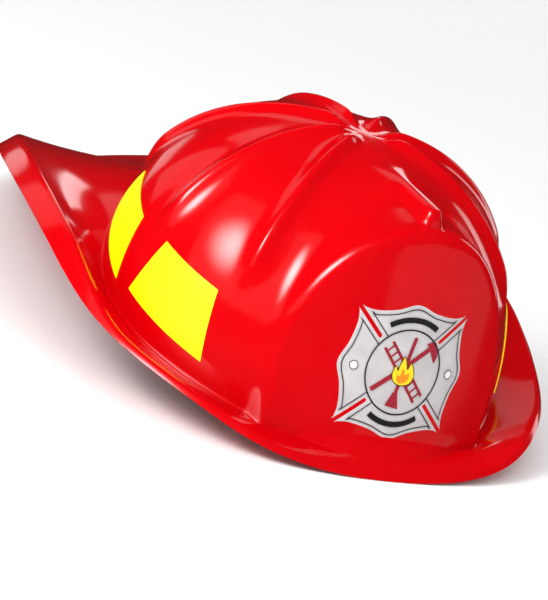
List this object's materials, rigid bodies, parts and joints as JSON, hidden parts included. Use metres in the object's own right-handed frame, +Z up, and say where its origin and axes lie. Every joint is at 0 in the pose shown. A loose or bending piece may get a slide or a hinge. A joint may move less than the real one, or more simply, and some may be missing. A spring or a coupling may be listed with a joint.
{
  "type": "firefighter helmet",
  "caption": "Dress-up firefighter helmet: seamed dome, moulded front shield and crest, long turned-down rear brim, printed film, and a suspension whose rear band slides to fit.",
  "frame": {"origin": "on the table under the middle of the helmet's box, with the helmet standing on its front edge and the tip of its rear brim", "axes": "+Z up, -Y the front of the helmet, +Y the long rear brim, +X the wearer's left"},
  "size_m": [0.2464, 0.355, 0.1293],
  "materials": {
    "shell": "glossy moulded red",
    "yellow_film": "smooth bright yellow film",
    "silver_film": "satin silver printed film",
    "band": "satin natural white polyethylene",
    "strap": "satin natural white polyethylene",
    "stud": "satin black nylon",
    "foam": "soft dark grey foam"
  },
  "bodies": {
    "helmet": {"shell": "shell", "front_badge": "silver_film", "side_stripe_left": "yellow_film", "side_stripe_right": "yellow_film", "rear_stripe_left": "yellow_film", "rear_stripe_right": "yellow_film", "brow_band": "band", "bracket_front_left": "band", "bracket_front_right": "band", "bracket_side_left": "band", "bracket_side_right": "band", "band_rivets": "stud", "side_strap": "strap", "front_strap": "strap", "crown_rivet": "stud", "crown_pad": "foam", "brow_pad": "foam"},
    "nape": {"nape_band": "band", "slide_studs": "stud"}
  },
  "joints": [
    {"name": "nape_slide", "type": "slide", "parent": "helmet", "child": "nape", "axis": [0, 0.9974, 0.0718], "range_m": [0, 0.012]}
  ]
}
